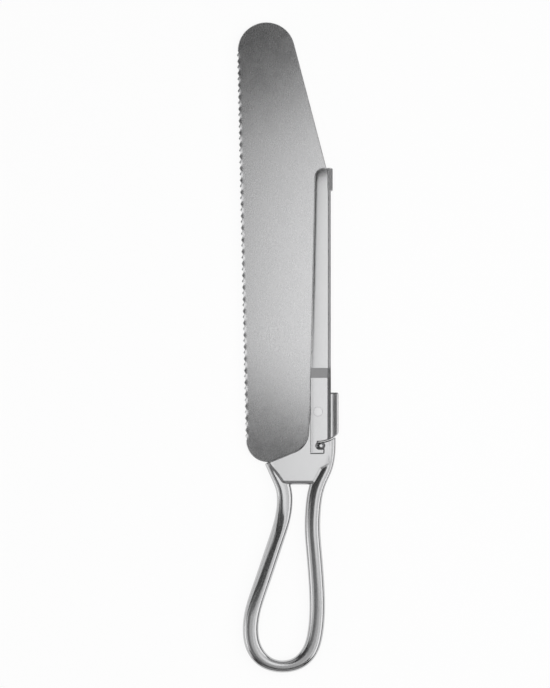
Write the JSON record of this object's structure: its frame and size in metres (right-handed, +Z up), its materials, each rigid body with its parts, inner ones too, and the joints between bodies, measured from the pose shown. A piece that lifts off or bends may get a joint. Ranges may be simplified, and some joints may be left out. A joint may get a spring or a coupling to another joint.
{
  "type": "amputation saw",
  "caption": "One-hand bone saw: wide thin toothed blade with a round point, hinged lifting back, and a forged teardrop loop handle.",
  "frame": {"origin": "centre of the saw's box at the surface it lies on", "axes": "+Y along the saw towards the blade's point, +X towards the lifting back, away from the teeth, +Z up through the flat of the blade"},
  "size_m": [0.0549, 0.3497, 0.0078],
  "materials": {
    "handle_steel": "forged stainless steel, polished bright",
    "blade_steel": "stainless sheet, fine satin",
    "spine_steel": "stainless steel, satin cheeks with polished edges",
    "rivet_steel": "stainless steel, ground level and polished"
  },
  "bodies": {
    "saw": {"handle": "handle_steel", "blade": "blade_steel", "pivot_rivet": "rivet_steel", "stop_pin": "rivet_steel", "blade_rivet_upper": "rivet_steel", "blade_rivet_middle": "rivet_steel", "blade_rivet_lower": "rivet_steel"},
    "lifting_back": {"spine": "spine_steel"}
  },
  "joints": [
    {"name": "back_lift", "type": "hinge", "parent": "saw", "child": "lifting_back", "pos_m": [0.01625, -0.03445, 0.00391], "axis": [0, 0, -1], "range_deg": [0, 28]}
  ]
}
